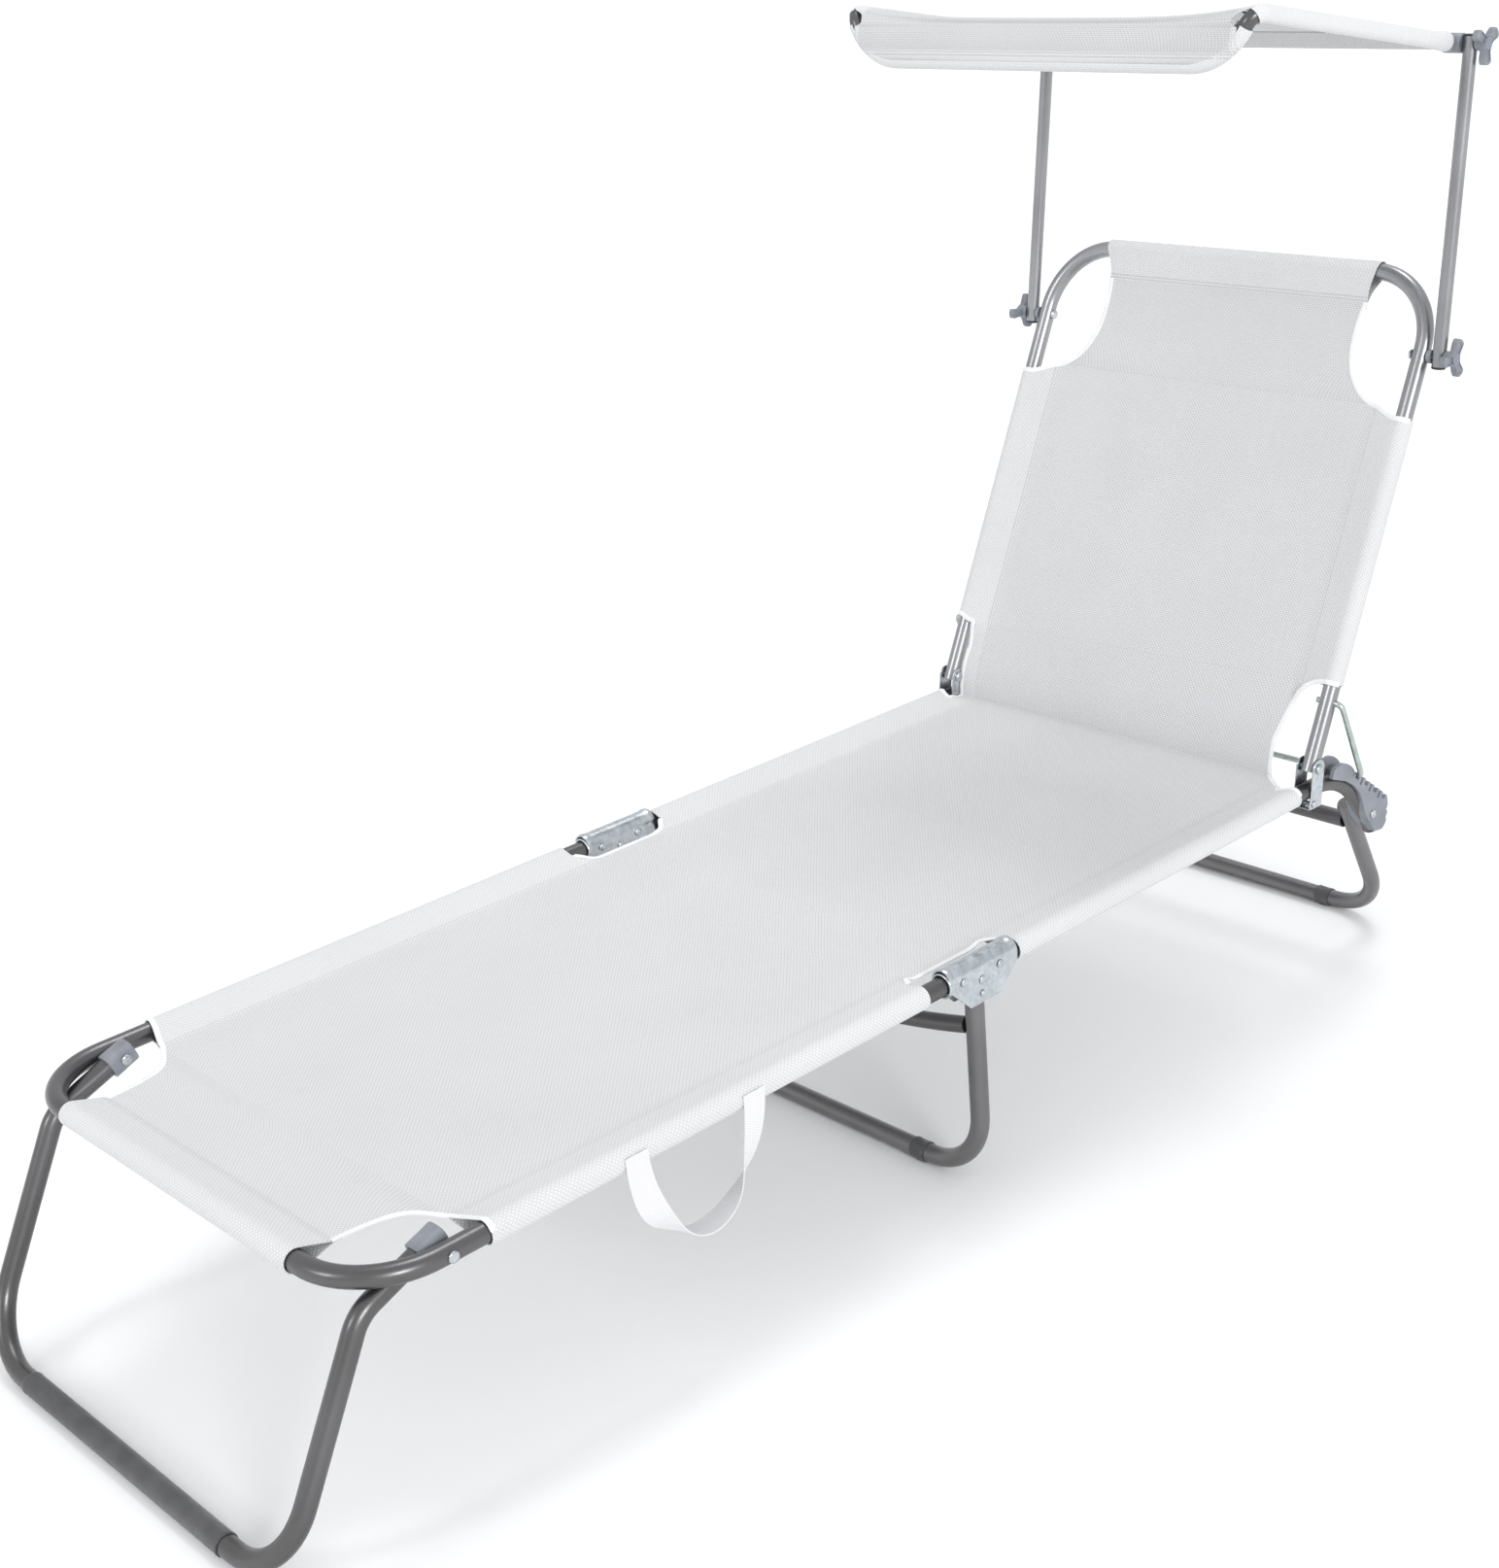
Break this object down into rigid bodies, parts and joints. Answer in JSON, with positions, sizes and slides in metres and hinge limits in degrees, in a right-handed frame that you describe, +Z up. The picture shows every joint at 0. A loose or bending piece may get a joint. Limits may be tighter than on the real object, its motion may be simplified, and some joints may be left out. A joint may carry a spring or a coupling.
{
  "type": "folding sun lounger with canopy",
  "caption": "Low folding sun lounger of bent steel tube with stretched mesh cloth, a reclining back on toothed racks, folding legs and a tilting sunshade canopy.",
  "frame": {"origin": "on the floor under the middle of the length and width of the lounger as it stands opened", "axes": "+X to the right as seen from the foot, +Y from the foot towards the head, +Z up"},
  "size_m": [0.6532, 1.7144, 1.1334],
  "materials": {
    "tube": "grey metallic powder coat, satin",
    "mesh_cloth": "off-white woven polyester mesh with white binding",
    "webbing": "white flat webbing",
    "zinc": "bright zinc plate",
    "wire": "zinc plated wire, slightly greenish",
    "grey_plastic": "grey moulded plastic",
    "black_plastic": "black moulded plug",
    "floor_plastic": "dark grey moulded sleeve"
  },
  "bodies": {
    "seat": {"seat_rail_left": "tube", "seat_rail_right": "tube", "seat_fabric": "mesh_cloth", "rack_left": "grey_plastic", "rack_right": "grey_plastic", "hinge_bracket_left": "zinc", "hinge_bracket_right": "zinc", "hinge_rivet_left": "zinc", "hinge_rivet_right": "zinc", "rail_plug_left": "black_plastic", "rail_plug_right": "black_plastic", "rear_leg_rivet_left": "zinc", "rear_leg_rivet_right": "zinc"},
    "mid_leg": {"mid_leg": "tube", "mid_leg_brace": "tube", "mid_bracket_left": "zinc", "mid_bracket_right": "zinc", "fold_rivet_foot_left": "zinc", "fold_rivet_foot_right": "zinc", "fold_rivet_seat_left": "zinc", "fold_rivet_seat_right": "zinc", "mid_leg_glider_left": "floor_plastic", "mid_leg_glider_right": "floor_plastic"},
    "foot_section": {"foot_frame": "tube", "foot_fabric": "mesh_cloth", "carry_strap": "webbing"},
    "foot_leg": {"foot_leg": "tube", "foot_leg_sleeve": "floor_plastic", "foot_leg_cap_left": "grey_plastic", "foot_leg_cap_right": "grey_plastic", "foot_leg_rivet_left": "zinc", "foot_leg_rivet_right": "zinc"},
    "rear_leg": {"rear_leg": "tube", "rear_leg_brace": "tube", "rear_leg_glider_left": "floor_plastic", "rear_leg_glider_right": "floor_plastic"},
    "back_pivot": {"back_pivot_bolt_left": "zinc", "back_pivot_bolt_right": "zinc"},
    "back": {"back_frame": "tube", "back_fabric": "mesh_cloth"},
    "support_bail": {"support_bail": "wire"},
    "canopy_arms": {"canopy_arm_left": "tube", "canopy_arm_right": "tube", "arm_plug_left": "black_plastic", "arm_plug_right": "black_plastic", "arm_cap_left": "black_plastic", "arm_cap_right": "black_plastic", "arm_spacer_left": "grey_plastic", "arm_spacer_right": "grey_plastic", "lower_bolt_left": "zinc", "lower_bolt_right": "zinc"},
    "canopy": {"canopy_frame": "tube", "canopy_rear_bar": "tube", "canopy_fabric": "mesh_cloth", "canopy_joint_left": "grey_plastic", "canopy_joint_right": "grey_plastic"},
    "lower_knob_left": {"lower_knob_left": "grey_plastic"},
    "lower_knob_right": {"lower_knob_right": "grey_plastic"},
    "upper_knob_left": {"upper_knob_left": "grey_plastic"},
    "upper_knob_right": {"upper_knob_right": "grey_plastic"}
  },
  "joints": [
    {"name": "seat_fold", "type": "hinge", "parent": "seat", "child": "mid_leg", "pos_m": [0, 0.01187, 0.25], "axis": [1, 0, 0], "range_deg": [0, 84]},
    {"name": "foot_fold", "type": "hinge", "parent": "mid_leg", "child": "foot_section", "pos_m": [0, -0.04213, 0.25], "axis": [1, 0, 0], "range_deg": [0, 84]},
    {"name": "foot_leg_fold", "type": "hinge", "parent": "foot_section", "child": "foot_leg", "pos_m": [0, -0.66213, 0.25], "axis": [1, 0, 0], "range_deg": [0, 117.6]},
    {"name": "rear_leg_fold", "type": "hinge", "parent": "seat", "child": "rear_leg", "pos_m": [0, 0.68068, 0.18347], "axis": [1, 0, 0], "range_deg": [-115.92, 0]},
    {"name": "back_fold", "type": "hinge", "parent": "seat", "child": "back_pivot", "pos_m": [0, 0.57087, 0.2766], "axis": [1, 0, 0], "range_deg": [0, 70]},
    {"name": "back_recline", "type": "hinge", "parent": "back_pivot", "child": "back", "pos_m": [0, 0.57087, 0.2766], "axis": [1, 0, 0], "range_deg": [-49.63, 0]},
    {"name": "bail_swing", "type": "hinge", "parent": "back", "child": "support_bail", "pos_m": [0, 0.60539, 0.34655], "axis": [1, 0, 0], "range_deg": [0, 57.98]},
    {"name": "arm_swing", "type": "hinge", "parent": "back", "child": "canopy_arms", "pos_m": [0, 0.78774, 0.71599], "axis": [-1, 0, 0], "range_deg": [-60, 25]},
    {"name": "canopy_tilt", "type": "hinge", "parent": "canopy_arms", "child": "canopy", "pos_m": [0, 0.83672, 1.058], "axis": [-1, 0, 0], "range_deg": [-40, 40]},
    {"name": "lower_knob_left_turn", "type": "hinge", "parent": "canopy_arms", "child": "lower_knob_left", "pos_m": [-0.3126, 0.78774, 0.71599], "axis": [1, 0, 0], "continuous": true},
    {"name": "lower_knob_right_turn", "type": "hinge", "parent": "canopy_arms", "child": "lower_knob_right", "pos_m": [0.3126, 0.78774, 0.71599], "axis": [1, 0, 0], "continuous": true},
    {"name": "upper_knob_left_turn", "type": "hinge", "parent": "canopy_arms", "child": "upper_knob_left", "pos_m": [-0.3126, 0.83672, 1.058], "axis": [1, 0, 0], "continuous": true},
    {"name": "upper_knob_right_turn", "type": "hinge", "parent": "canopy_arms", "child": "upper_knob_right", "pos_m": [0.3126, 0.83672, 1.058], "axis": [1, 0, 0], "continuous": true}
  ],
  "couplings": [
    {"joint": "foot_fold", "follows": "seat_fold", "ratio": 1},
    {"joint": "foot_leg_fold", "follows": "seat_fold", "ratio": 1.4},
    {"joint": "rear_leg_fold", "follows": "seat_fold", "ratio": -1.38},
    {"joint": "bail_swing", "follows": "back_recline", "ratio": -1.1679}
  ]
}
